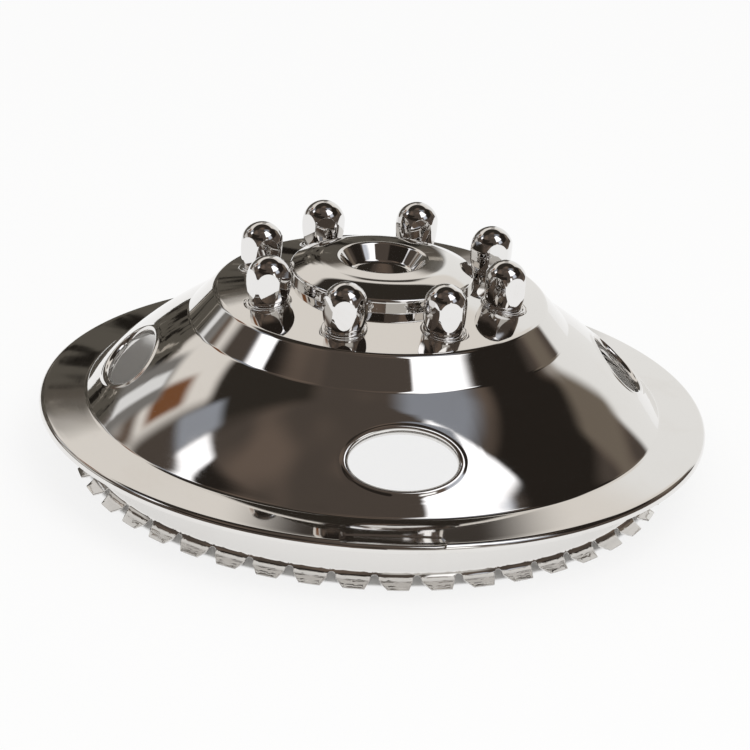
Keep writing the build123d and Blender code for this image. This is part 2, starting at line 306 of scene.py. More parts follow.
def trace(bm, corners):
    """Draw a section of radius and height corners, each turned by spinning the chain's end."""
    points = [Vector((corner[0], 0, corner[1])) for corner in corners]
    tip = bm.verts.new(points[0])
    for index in range(1, len(points) - 1):
        bend, steps = corners[index][2:]
        before = (points[index] - points[index - 1]).normalized()
        after = (points[index + 1] - points[index]).normalized()
        turn = before.angle(after)
        axis = before.cross(after).normalized()
        tip = draw_to(bm, tip, points[index] - before * bend * tan(turn / 2))
        if steps:
            centre = tip.co + axis.cross(before) * bend
            swept = bmesh.ops.spin(bm, geom=[tip], cent=centre, axis=axis, angle=turn, steps=steps)
            tip = new_verts(swept, "geom_last")[0]
    draw_to(bm, tip, points[-1])


def divide_runs(bm, longest):
    """Cut a section's long straight runs into shorter ones."""
    for edge in bm.edges[:]:
        cuts = int(edge.calc_length() / longest)
        if cuts:
            bmesh.ops.subdivide_edges(bm, edges=[edge], cuts=cuts)


def chain_points(bm):
    """The points of a section's chain in order, from the axis outwards."""
    vert = min(bm.verts, key=lambda item: item.co.x)
    points, edge = [(vert.co.x, vert.co.z)], None
    while True:
        onward = [item for item in vert.link_edges if item != edge]
        if not onward:
            return np.array(points)
        edge = onward[0]
        vert = edge.other_vert(vert)
        points.append((vert.co.x, vert.co.z))


def section_normals(chain, places):
    """Each place's distance from a section, and the section's smooth normal there."""
    run = np.diff(chain, axis=0)
    size = np.linalg.norm(run, axis=1)
    side = np.stack([-run[:, 1], run[:, 0]], 1)
    corner = np.vstack([side[:1], side[:-1] + side[1:], side[-1:]])
    corner /= np.linalg.norm(corner, axis=1)[:, None]
    best = np.full(len(places), np.inf)
    normals = np.zeros((len(places), 2))
    for index, start in enumerate(chain[:-1]):
        share = np.clip((places - start) @ run[index] / size[index] ** 2, 0, 1)[:, None]
        gap = np.linalg.norm(places - start - share * run[index], axis=1)
        near = gap < best
        best[near] = gap[near]
        normals[near] = ((1 - share) * corner[index] + share * corner[index + 1])[near]
    return best, normals / np.maximum(np.linalg.norm(normals, axis=1), MERGE)[:, None]


def true_normals(piece, chain):
    """Give a spun piece its section's own normals, so that its mirror images run on over cuts."""
    depsgraph = bpy.context.evaluated_depsgraph_get()
    mesh = bpy.data.meshes.new_from_object(piece.evaluated_get(depsgraph))
    piece.modifiers.clear()
    plain, piece.data = piece.data, mesh
    bpy.data.meshes.remove(plain)
    points = np.empty(len(mesh.vertices) * 3)
    mesh.vertices.foreach_get("co", points)
    points = points.reshape(-1, 3)
    corners = np.empty(len(mesh.loops), dtype=np.int64)
    mesh.loops.foreach_get("vertex_index", corners)
    shown = np.empty(len(mesh.loops) * 3)
    mesh.corner_normals.foreach_get("vector", shown)
    shown = shown.reshape(-1, 3)
    radius = np.maximum(np.hypot(points[:, 0], points[:, 1]), MERGE)
    gap, flat = section_normals(chain, np.stack([radius, points[:, 2]], 1))
    outwards = points[:, :2] / radius[:, None]
    exact = np.column_stack([flat[:, :1] * outwards, flat[:, 1]])
    exact *= np.sign(np.sum(exact[corners] * shown, axis=1).mean())
    wanted = exact[corners]
    use = (gap[corners] < ON_SECTION) & (np.sum(wanted * shown, axis=1) > SAME_WAY)
    shown[use] = wanted[use]
    mesh.normals_split_custom_set(shown.tolist())


def spin_round(bm, steps):
    """Spin a section about the wheel's axis into a closed skin that faces outwards."""
    geom = bm.verts[:] + bm.edges[:]
    bmesh.ops.spin(bm, geom=geom, cent=(0, 0, 0), axis=(0, 0, 1), angle=2 * pi, steps=steps, use_merge=True)
    bmesh.ops.remove_doubles(bm, verts=bm.verts, dist=MERGE)
    bmesh.ops.recalc_face_normals(bm, faces=bm.faces)


def orient(bm, probe, outwards):
    """Turn a skin round unless its face nearest to a point looks the given way."""
    near = min(bm.faces, key=lambda face: (face.calc_center_median() - Vector(probe)).length_squared)
    if near.normal.dot(Vector(outwards)) < 0:
        bmesh.ops.reverse_faces(bm, faces=bm.faces)


def as_mesh(bm, name):
    """Hand a bmesh over to a new mesh."""
    mesh = bpy.data.meshes.new(name)
    bm.to_mesh(mesh)
    bm.free()
    return mesh


def finish_piece(bm, name, node_names, material, sheet):
    """Turn a skin into a piece of sheet metal that stands for its CAD nodes."""
    mesh = as_mesh(bm, name)
    mesh.shade_smooth()
    mesh.set_sharp_from_angle(angle=SMOOTH_LIMIT)
    mesh.materials.append(material)
    piece = bpy.data.objects.new(name, mesh)
    bpy.context.scene.collection.objects.link(piece)
    wall = piece.modifiers.new("Sheet", "SOLIDIFY")
    wall.thickness = sheet
    wall.offset = -1
    weights = piece.modifiers.new("Normals", "WEIGHTED_NORMAL")
    weights.keep_sharp = True
    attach(piece, BODY)
    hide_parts(*node_names)
    return piece


# Sections


class Section:
    """Corner points of the dish's outer face, worked out from its sizes."""

    def __init__(self):
        s = bpy.context.scene.wheel_cover_sizes
        lug_radius = bpy.context.scene.wheel_lug_sizes.circle / 2
        self.rim = (s.rim_radius, s.rim_height)
        self.foot = (s.rim_radius - s.flange_width, s.rim_height + s.flange_rise)
        crest_radius = lug_radius + s.plate_outside
        self.crease = (crest_radius + s.shoulder_run, self.foot[1] + s.bowl_rise)
        self.crest = (crest_radius, self.crease[1] + s.shoulder_rise)
        self.boss_root = (lug_radius - s.plate_inside, self.crest[1] + s.plate_crown)
        self.boss_top = (self.boss_root[0], self.boss_root[1] + s.boss_wall)
        self.dome_knee = (self.boss_top[0] - s.dome_run, self.boss_top[1] + s.dome_rise)
        self.dimple_lip = (s.dimple_radius, self.dome_knee[1] + s.dimple_lip_rise)
        self.dimple_floor = (s.dimple_radius - s.dimple_run, self.dimple_lip[1] - s.dimple_depth)
        self.plate_fall = s.plate_crown / (s.plate_inside + s.plate_outside)
        run, drop = self.foot[0] - self.crease[0], self.crease[1] - self.foot[1]
        chord = hypot(run, drop)
        self.bowl_middle = ((self.foot[0] + self.crease[0]) / 2, (self.foot[1] + self.crease[1]) / 2)
        self.bowl_out = (drop / chord, run / chord)
        self.knee = tuple(m + s.bowl_bulge * n for m, n in zip(self.bowl_middle, self.bowl_out))
        half_turn = atan2(s.bowl_bulge, chord / 2)
        self.bowl_radius = (hypot(chord / 2, s.bowl_bulge) - s.bowl_end_run) / tan(half_turn)
        lip_turn = pi / 2 - atan2(s.flange_rise, s.flange_width)
        self.lip_end = (self.rim[0], self.rim[1] - s.lip_bend * tan(lip_turn / 2) - s.lip_skirt)

    def corners(self):
        """Radius, height, bend radius and bend steps from the axis out to the lip."""
        s = bpy.context.scene.wheel_cover_sizes
        return [
            (0, self.dimple_floor[1], 0, 0),
            (*self.dimple_floor, s.dimple_floor_bend, 8),
            (*self.dimple_lip, s.dimple_lip_bend, 10),
            (*self.dome_knee, s.dome_curve, 10),
            (*self.boss_top, s.boss_bend, 10),
            (*self.boss_root, s.boss_root_bend, 8),
            (*self.crest, s.crest_bend, 10),
            (*self.crease, s.crease_bend, 6),
            (*self.knee, self.bowl_radius, 26),
            (*self.foot, s.foot_bend, 8),
            (*self.rim, s.lip_bend, 10),
            (*self.lip_end, 0, 0),
        ]

    def plate_height(self, radius):
        """Height of the plate's outer face."""
        return self.crest[1] + (self.crest[0] - radius) * self.plate_fall


def drop_on(skin, point, along):
    """The point of a skin that lies straight below another, seen along a direction."""
    hit = skin.ray_cast(point + along * 0.1, -along)[0]
    if hit is None:
        raise RuntimeError("the section has no skin under an opening")
    return hit


def open_window(bm, skin, window, place, radii, rings):
    """Replace a window of faces by a smooth web round an oval opening, and roll its edge in.

    The place's Z axis runs out through the opening. Each ring gives the edge's growth and depth.
    """
    out = place.to_3x3() @ Vector((0, 0, 1))
    back = place.inverted()
    inside = set(window)
    rim = [e for f in window for e in f.edges if sum(face in inside for face in e.link_faces) == 1]
    bmesh.ops.delete(bm, geom=window, context="FACES")

    def settle(verts, before, grow, depth):
        for vert in verts:
            local = back @ vert.co
            turn = atan2(local.y / (radii[1] + before), local.x / (radii[0] + before))
            flat = Vector(((radii[0] + grow) * cos(turn), (radii[1] + grow) * sin(turn), 0))
            vert.co = drop_on(skin, place @ flat, out) - out * depth

    grow, depth = rings[0]
    oval = place @ Matrix.Diagonal((radii[0] + grow, radii[1] + grow, 1, 1))
    verts = bmesh.ops.create_circle(bm, cap_ends=False, segments=len(rim), radius=1, matrix=oval)["verts"]
    loop = list({edge for vert in verts for edge in vert.link_edges})
    settle(verts, grow, grow, depth)
    web = bmesh.ops.bridge_loops(bm, edges=rim + loop)
    inner = bmesh.ops.subdivide_edges(bm, edges=web["edges"], cuts=WEB_CUTS, use_grid_fill=True)
    for vert in new_verts(inner, "geom_inner"):
        vert.co = skin.find_nearest(vert.co)[0]
    for (before, _), (grow, depth) in zip(rings, rings[1:]):
        step = bmesh.ops.extrude_edge_only(bm, edges=loop)
        loop = new_edges(step)
        settle(new_verts(step), before, grow, depth)


def hand_hole_place(section, index):
    """Where a hand hole lies on the bowl, with Z along the bowl's normal."""
    s = bpy.context.scene.wheel_cover_sizes
    sag = hypot(section.knee[0] - section.bowl_middle[0], section.knee[1] - section.bowl_middle[1])
    chord = hypot(section.foot[0] - section.crease[0], section.foot[1] - section.crease[1])
    half_turn = atan2(sag, chord / 2)
    radius = section.bowl_radius
    centre = [k - radius / cos(half_turn) * n for k, n in zip(section.knee, section.bowl_out)]
    middle = atan2(section.bowl_out[1], section.bowl_out[0])
    angle = middle - s.hole_shift / radius
    point = Vector((centre[0] + radius * cos(angle), 0, centre[1] + radius * sin(angle)))
    tilt = Matrix.Rotation(pi / 2 - angle, 4, "Y")
    flat = Matrix.Rotation(pi / 2, 4, "Z")
    return Matrix.Rotation(index * pi / 2, 4, "Z") @ Matrix.Translation(point) @ tilt @ flat


def window_faces(bm, place, half_length, inwards, outwards):
    """Faces round a place, bounded by whole rows of the spun skin so that the border has no steps."""
    reach = place.translation.xy.length
    middle = atan2(place.translation.y, place.translation.x)
    found = []
    for face in bm.faces:
        centre = face.calc_center_median()
        turn = (atan2(centre.y, centre.x) - middle + pi) % (2 * pi) - pi
        if abs(turn) * reach < half_length and -inwards < centre.xy.length - reach < outwards:
            found.append(face)
    return found


def press_recess(bm):
    """Press the pointed tool recess into the flange on the -Y side, and let it fade down the lip."""
    s = bpy.context.scene.wheel_cover_sizes
    bmesh.ops.rotate(bm, verts=bm.verts, matrix=Matrix.Rotation(-s.recess_turn, 3, "Z"))
    inner = -s.rim_radius + s.recess_width
    middle = -s.rim_radius + s.recess_width / 2
    half = s.recess_length / 2
    slope = Vector((s.recess_width / 2, s.recess_point, 0)).normalized()
    rake = Vector((s.recess_width / 2, -s.recess_point, 0)).normalized()
    planes = [((0, inner, 0), (0, 1, 0))]
    for side in (-1, 1):
        planes.append(((side * half, middle, 0), (side * slope.x, slope.y, 0)))
        planes.append(((side * half, middle, 0), (side * rake.x, rake.y, 0)))

    def near():
        return [f for f in bm.faces if near_recess(f.calc_center_median())]

    def near_recess(point):
        beside = point.y < inner + RECESS_MARGIN and abs(point.x) < half + RECESS_MARGIN
        return beside and point.z < s.rim_height + s.flange_rise

    for co, no in planes:
        bmesh.ops.bisect_plane(bm, geom=with_parts(near()), dist=MERGE, plane_co=co, plane_no=no)
    pressed = []
    for face in near():
        centre = face.calc_center_median()
        if all((centre - Vector(co)).dot(Vector(no)) < 0 for co, no in planes):
            pressed.append(face)
    bmesh.ops.inset_region(bm, faces=pressed, thickness=RECESS_EDGE)
    for vert in {vert for face in pressed for vert in face.verts}:
        share = min(1, max(0, (s.rim_radius - vert.co.xy.length) / s.lip_bend))
        bmesh.ops.translate(bm, verts=[vert], vec=(0, 0, -s.recess_depth * share))
    bmesh.ops.rotate(bm, verts=bm.verts, matrix=Matrix.Rotation(s.recess_turn, 3, "Z"))


class WHEEL_OT_cover(bpy.types.Operator):
    """Model the pressed dish with its hand holes, lug holes and tool recess."""

    bl_idname = "wheel.cover"
    bl_label = "Dish"

    def execute(self, context):
        s, lugs = context.scene.wheel_cover_sizes, context.scene.wheel_lug_sizes
        section = Section()
        bm = bmesh.new()
        trace(bm, section.corners())
        divide_runs(bm, COVER_RUN)
        chain = chain_points(bm)
        spin_round(bm, COVER_STEPS)
        orient(bm, (*section.knee, 0), (1, 0, 1))
        skin = BVHTree.FromBMesh(bm)
        press_recess(bm)
        hem = [(s.hem_width * across, s.hem_depth * down) for across, down in HEM_CURVE]
        for index in range(4):
            place = hand_hole_place(section, index)
            window = window_faces(bm, place, *HAND_HOLE_WINDOW)
            open_window(bm, skin, window, place, (s.hole_length / 2, s.hole_width / 2), hem)
        bore = lugs.collar + lugs.gap
        for index in range(lugs.count):
            turn = Matrix.Rotation(2 * pi / lugs.count * (index + 0.5), 4, "Z")
            place = turn @ Matrix.Translation((lugs.circle / 2, 0, section.plate_height(lugs.circle / 2)))
            window = window_faces(bm, place, *LUG_HOLE_WINDOW)
            open_window(bm, skin, window, place, (bore, bore), [(0, 0)])
        bmesh.ops.recalc_face_normals(bm, faces=bm.faces)
        orient(bm, (0, 0, section.dimple_floor[1]), (0, 0, 1))
        material = polished_steel("Dish steel", context.scene.wheel_colours.cover, DISH_POLISH)
        dish = finish_piece(bm, "dish", ["wheel_cover"], material, s.sheet)
        true_normals(dish, chain)
        return {"FINISHED"}


def lug_dome():
    """The hex dome of a lug cover about its own axis, with six oval flats that are a little domed."""
    s = bpy.context.scene.wheel_lug_sizes
    section = Section()
    seat = section.plate_height(s.circle / 2)
    waist = seat + s.height - s.dome
    base = seat + s.neck_height
    lift = s.dome - s.crown
    flank = (s.barrel**2 + lift**2 - s.crown**2) / (2 * (s.barrel - s.crown))
    swell = s.barrel - s.neck
    side = (swell**2 + (waist - base) ** 2) / (2 * swell)
    knuckle = atan2(lift, flank - s.barrel)
    arcs = [
        (s.barrel - side, waist, asin((waist - base) / side), 14),
        (s.barrel - flank, waist, knuckle, 22),
        (0, waist + lift, pi / 2 - knuckle, 6),
    ]
    bm = bmesh.new()
    tip = bm.verts.new((s.neck, 0, seat - s.neck * section.plate_fall))
    tip = draw_to(bm, tip, Vector((s.neck, 0, base)))
    for radius, height, angle, steps in arcs:
        swept = bmesh.ops.spin(
            bm, geom=[tip], cent=(radius, 0, height), axis=(0, -1, 0), angle=angle, steps=steps
        )
        tip = new_verts(swept, "geom_last")[0]
    spin_round(bm, LUG_STEPS)
    orient(bm, (0, 0, waist + s.dome), (0, 0, 1))
    border = []
    for index in range(6):
        normal = Vector((cos(index * pi / 3), sin(index * pi / 3), 0))
        geom = bm.verts[:] + bm.edges[:] + bm.faces[:]
        centre = normal * s.flats / 2 + Vector((0, 0, seat + s.height * FLAT_MIDDLE))
        cut = bmesh.ops.bisect_plane(
            bm, geom=geom, dist=MERGE, plane_co=centre, plane_no=normal, clear_outer=True
        )
        loop = new_edges(cut, "geom_cut")
        border += loop
        dome_flat(bm, loop, centre, normal, s.flat_bulge)
    bmesh.ops.bevel(
        bm, geom=border, offset=FLAT_EDGE, segments=3, profile=0.5, affect="EDGES", material=-1,
        clamp_overlap=True,
    )
    bmesh.ops.recalc_face_normals(bm, faces=bm.faces)
    orient(bm, (0, 0, waist + s.dome), (0, 0, 1))
    return as_mesh(bm, "lug dome")


def dome_flat(bm, loop, middle, normal, bulge):
    """Close a cut with a slightly domed flat, in rings that shrink to its middle."""
    last = 1
    for step in range(1, FLAT_RINGS):
        share = 1 - step / FLAT_RINGS
        grown = bmesh.ops.extrude_edge_only(bm, edges=loop)
        loop = new_edges(grown)
        for vert in new_verts(grown):
            local = vert.co - middle
            flat = local - normal * local.dot(normal)
            vert.co = middle + flat * share / last + normal * bulge * (1 - share**2)
        last = share
    bmesh.ops.contextual_create(bm, geom=loop)


def lug_collar():
    """The collar's lip on the sloping plate and the foot flange behind it."""
    s, sheet = bpy.context.scene.wheel_lug_sizes, bpy.context.scene.wheel_cover_sizes.sheet
    section = Section()
    seat = section.plate_height(s.circle / 2)
    top = seat + s.collar_height * hypot(1, section.plate_fall)
    under = seat - (sheet + s.gap) * hypot(1, section.plate_fall)
    inner = s.neck - FLAT_EDGE
    corners = [
        (inner, top, 0, 0),
        (s.collar, top, COLLAR_BEND, 4),
        (s.collar, under, COLLAR_BEND, 3),
        (s.foot, under, 0, 0),
    ]
    bm = bmesh.new()
    trace(bm, corners)
    spin_round(bm, LUG_STEPS)
    orient(bm, (s.collar, 0, seat), (1, 0, 0))
    slope = Matrix.Identity(4)
    slope[2][0] = -section.plate_fall
    bmesh.ops.transform(bm, matrix=slope, verts=bm.verts)
    return as_mesh(bm, "lug collar")


class WHEEL_OT_lug_covers(bpy.types.Operator):
    """Model the eight drawn lug covers on the plate."""

    bl_idname = "wheel.lug_covers"
    bl_label = "Lug covers"

    def execute(self, context):
        s = context.scene.wheel_lug_sizes
        dome, collar = lug_dome(), lug_collar()
        material = polished_steel("Lug steel", context.scene.wheel_colours.lug, LUG_POLISH)
        for index in range(s.count):
            bm = bmesh.new()
            bm.from_mesh(dome)
            own_turn = Matrix.Rotation(radians(LUG_TURNS[index]), 3, "Z")
            bmesh.ops.rotate(bm, verts=bm.verts, matrix=own_turn)
            bm.from_mesh(collar)
            bmesh.ops.remove_doubles(bm, verts=bm.verts, dist=MERGE)
            turn = Matrix.Rotation(2 * pi / s.count * (index + 0.5), 4, "Z")
            place = turn @ Matrix.Translation((s.circle / 2, 0, 0))
            bmesh.ops.transform(bm, matrix=place, verts=bm.verts)
            number = index + 1
            finish_piece(bm, f"lug_{number}", [f"lug_cover_{number}"], material, s.sheet)
        for mesh in (dome, collar):
            bpy.data.meshes.remove(mesh)
        return {"FINISHED"}


def gullet_planes():
    """Planes that bound the slot and the mouth of the gap between two teeth, with outward normals."""
    s = bpy.context.scene.wheel_ring_sizes
    radius = s.gullet_root / 2
    slot = [
        (Vector((s.band_radius, 0, 0)), Vector((0, -1, 0))),
        (Vector((s.band_radius, s.gullet_root, 0)), Vector((0, 1, 0))),
    ]
    for step in range(GULLET_STEPS):
        angle = pi * (step + 0.5) / GULLET_STEPS
        normal = Vector((0, cos(angle), sin(angle)))
        centre = Vector((s.band_radius, radius, s.gullet_height - radius))
        slot.append((centre + normal * radius, normal))
    start = s.band_radius + s.flare_start
    rake = (s.gullet_mouth - s.gullet_root) / (s.tip_radius - start)
    mouth = [
        (Vector((start, 0, 0)), Vector((-rake * s.lean, -1, 0)).normalized()),
        (Vector((start, s.gullet_root, 0)), Vector((-rake * (1 - s.lean), 1, 0)).normalized()),
        (Vector((start, 0, s.gullet_height - radius)), Vector((0, 0, 1))),
    ]
    return slot, mouth


class WHEEL_OT_spring_ring(bpy.types.Operator):
    """Model the toothed spring ring under the flange."""

    bl_idname = "wheel.spring_ring"
    bl_label = "Spring ring"

    def execute(self, context):
        s, cover = context.scene.wheel_ring_sizes, context.scene.wheel_cover_sizes
        fall = cover.flange_rise / cover.flange_width
        below = (cover.sheet + context.scene.wheel_lug_sizes.gap + s.sheet) * hypot(1, fall)
        fin = atan2(s.fin_drop, s.tip_radius - s.band_radius)
        tip = s.sheet * cos(fin)

        def flange(radius):
            return cover.rim_height + (cover.rim_radius - radius) * fall - below

        bm = bmesh.new()
        corners = [
            (s.flange_radius, flange(s.flange_radius), 0, 0),
            (s.band_radius, flange(s.band_radius), s.flange_bend, 6),
            (s.band_radius, tip + s.fin_drop, s.fin_bend, 6),
            (s.tip_radius, tip, 0, 0),
        ]
        trace(bm, corners)
        divide_runs(bm, RING_RUN)
        pitch = 2 * pi / s.teeth
        early = Matrix.Rotation(-pitch / 4, 3, "Z")
        bmesh.ops.rotate(bm, verts=bm.verts, matrix=early)
        geom = bm.verts[:] + bm.edges[:]
        bmesh.ops.spin(bm, geom=geom, cent=(0, 0, 0), axis=(0, 0, 1), angle=pitch, steps=TOOTH_STEPS)
        self.cut_gullet(bm, pitch)
        bmesh.ops.spin(
            bm, geom=bm.verts[:] + bm.edges[:] + bm.faces[:], cent=(0, 0, 0), axis=(0, 0, 1),
            angle=2 * pi - pitch, steps=s.teeth - 1, use_duplicate=True,
        )
        bmesh.ops.remove_doubles(bm, verts=bm.verts, dist=5 * MERGE)
        bmesh.ops.recalc_face_normals(bm, faces=bm.faces)
        orient(bm, (s.band_radius, 0, cover.rim_height / 2), (1, 0, 0))
        material = polished_steel("Ring steel", context.scene.wheel_colours.ring, RING_POLISH)
        finish_piece(bm, "tooth_ring", ["spring_ring"], material, s.sheet)
        return {"FINISHED"}

    def cut_gullet(self, bm, pitch):
        """Cut the gap out of one tooth's pitch, away from the edges that join the next ones."""
        slot, mouth = gullet_planes()

        def within(face, planes):
            centre = face.calc_center_median()
            return all((centre - co).dot(no) < 0 for co, no in planes)

        def inner_faces():
            found = []
            for face in bm.faces:
                centre = face.calc_center_median()
                if -pitch * 0.2 < atan2(centre.y, centre.x) < pitch * 0.66 and centre.z < 12 * MM:
                    found.append(face)
            return found

        for co, no in slot + mouth:
            bmesh.ops.bisect_plane(bm, geom=with_parts(inner_faces()), dist=MERGE, plane_co=co, plane_no=no)
        gap = [face for face in inner_faces() if within(face, slot) or within(face, mouth)]
        bmesh.ops.delete(bm, geom=gap, context="FACES")


# Materials


def add(nodes, kind, **settings):
    """A new node with its settings."""
    node = nodes.new(kind)
    for key, value in settings.items():
        setattr(node, key, value)
    return node


def feed(links, node, **sources):
    """Set a node's inputs by name from values or from other nodes' outputs."""
    for key, source in sources.items():
        socket = node.inputs[int(key[1:])] if key[0] == "i" and key[1:].isdigit() else node.inputs[key]
        if isinstance(source, bpy.types.NodeSocket):
            links.new(source, socket)
        else:
            socket.default_value = source


def calc(nodes, links, operation, *values, **settings):
    """The result of a maths node."""
    node = add(nodes, "ShaderNodeMath", operation=operation, **settings)
    feed(links, node, **{f"i{index}": value for index, value in enumerate(values)})
    return node.outputs[0]


def ramp(nodes, links, value, low, high, top=1.0):
    """A smooth step of a value, from 0 at its low end to the top at its high end."""
    node = add(nodes, "ShaderNodeMapRange", interpolation_type="SMOOTHSTEP")
    feed(links, node, Value=value, i1=low, i2=high, i4=top)
    return node.outputs[0]


def new_group(name, inputs, outputs):
    """An empty shader node group with named float and vector sockets."""
    group = bpy.data.node_groups.new(name, "ShaderNodeTree")
    for label, kind, default in inputs:
        socket = group.interface.new_socket(name=label, in_out="INPUT", socket_type=kind)
        if default is not None:
            socket.default_value = default
    for label in outputs:
        group.interface.new_socket(name=label, in_out="OUTPUT", socket_type="NodeSocketFloat")
    ends = add(group.nodes, "NodeGroupInput"), add(group.nodes, "NodeGroupOutput")
    return group, ends[0].outputs, ends[1].inputs


def buffing_group():
    """Fine rings that a polishing wheel leaves on a part that spins about Z."""
    group, given, result = new_group(
        "Buffing rings",
        [("Vector", "NodeSocketVector", None), ("Rings per metre", "NodeSocketFloat", 900.0)],
        ["Lines"],
    )
    nodes, links = group.nodes, group.links
    flat = add(nodes, "ShaderNodeVectorMath", operation="MULTIPLY")
    feed(links, flat, i0=given["Vector"], i1=(1, 1, 0))
    radius = add(nodes, "ShaderNodeVectorMath", operation="LENGTH")
    feed(links, radius, i0=flat.outputs[0])
    split = add(nodes, "ShaderNodeSeparateXYZ")
    feed(links, split, i0=given["Vector"])
    wander = calc(nodes, links, "MULTIPLY", split.outputs[0], 0.004)
    joined = add(nodes, "ShaderNodeCombineXYZ")
    feed(links, joined, X=radius.outputs["Value"], Y=split.outputs[2], Z=wander)
    noise = add(nodes, "ShaderNodeTexNoise")
    feed(links, noise, Vector=joined.outputs[0], Scale=given["Rings per metre"], Detail=3.0, Roughness=0.6)
    links.new(noise.outputs[0], result["Lines"])
    return group


def pressing_group():
    """Slow waves that pressing leaves in a polished sheet."""
    group, given, result = new_group(
        "Pressing waves",
        [("Vector", "NodeSocketVector", None), ("Waves per metre", "NodeSocketFloat", 24.0)],
        ["Height"],
    )
    noise = add(group.nodes, "ShaderNodeTexNoise")
    feed(group.links, noise, Vector=given["Vector"], Scale=given["Waves per metre"])
    feed(group.links, noise, Detail=1.0, Roughness=0.4)
    group.links.new(noise.outputs[0], result["Height"])
    return group


def handling_group():
    """Faint smears from hands and cloths, and specks of dust."""
    group, given, result = new_group(
        "Handling marks",
        [("Vector", "NodeSocketVector", None), ("Marks per metre", "NodeSocketFloat", 14.0)],
        ["Smear", "Speck"],
    )
    nodes, links = group.nodes, group.links
    cloud = add(nodes, "ShaderNodeTexNoise")
    feed(links, cloud, Vector=given["Vector"], Scale=given["Marks per metre"])
    feed(links, cloud, Detail=6.0, Roughness=0.62, Distortion=0.6)
    links.new(ramp(nodes, links, cloud.outputs[0], 0.52, 0.74), result["Smear"])
    cells = add(nodes, "ShaderNodeTexVoronoi")
    often = calc(nodes, links, "MULTIPLY", given["Marks per metre"], 9.0)
    feed(links, cells, Vector=given["Vector"], Scale=often, Randomness=1.0)
    links.new(ramp(nodes, links, cells.outputs["Distance"], 0.05, 0.02), result["Speck"])
    return group


def shared(name, maker):
    """A node group that is made once and then used again."""
    return bpy.data.node_groups.get(name) or maker()


def polished_steel(name, tint, polish):
    """Mirror-polished steel with buffing rings, pressing waves and faint handling marks."""
    material = bpy.data.materials.new(name)
    material.use_nodes = True
    nodes, links = material.node_tree.nodes, material.node_tree.links
    shader = nodes["Principled BSDF"]
    shader.inputs["Metallic"].default_value = 1
    place = add(nodes, "ShaderNodeTexCoord").outputs["Object"]
    groups = {}
    for key, title, maker in (
        ("rings", "Buffing rings", buffing_group),
        ("waves", "Pressing waves", pressing_group),
        ("marks", "Handling marks", handling_group),
    ):
        groups[key] = add(nodes, "ShaderNodeGroup", node_tree=shared(title, maker))
        feed(links, groups[key], i0=place, i1=polish[key])
    lines = groups["rings"].outputs["Lines"]
    smear, speck = groups["marks"].outputs["Smear"], groups["marks"].outputs["Speck"]

    worn = add(nodes, "ShaderNodeMix", data_type="RGBA")
    dull = [channel * factor for channel, factor in zip(tint, polish["dull"])]
    feed(links, worn, i6=(*tint, 1), i7=(*dull, 1))
    links.new(smear, worn.inputs[0])
    links.new(worn.outputs[2], shader.inputs["Base Color"])

    grain = add(nodes, "ShaderNodeMapRange")
    feed(links, grain, Value=lines, i1=0.3, i2=0.7, i3=polish["gloss"][0], i4=polish["gloss"][1])
    haze = calc(nodes, links, "MULTIPLY_ADD", smear, polish["haze"], grain.outputs[0])
    dusty = calc(nodes, links, "MULTIPLY_ADD", speck, polish["dust"], haze, use_clamp=True)
    links.new(dusty, shader.inputs["Roughness"])

    wave = add(nodes, "ShaderNodeBump")
    feed(links, wave, Height=groups["waves"].outputs["Height"], Distance=polish["wave_depth"])
    scratch = add(nodes, "ShaderNodeBump")
    feed(links, scratch, Height=lines, Distance=polish["ring_depth"], Normal=wave.outputs[0])
    links.new(scratch.outputs[0], shader.inputs["Normal"])
    return material


# Stage


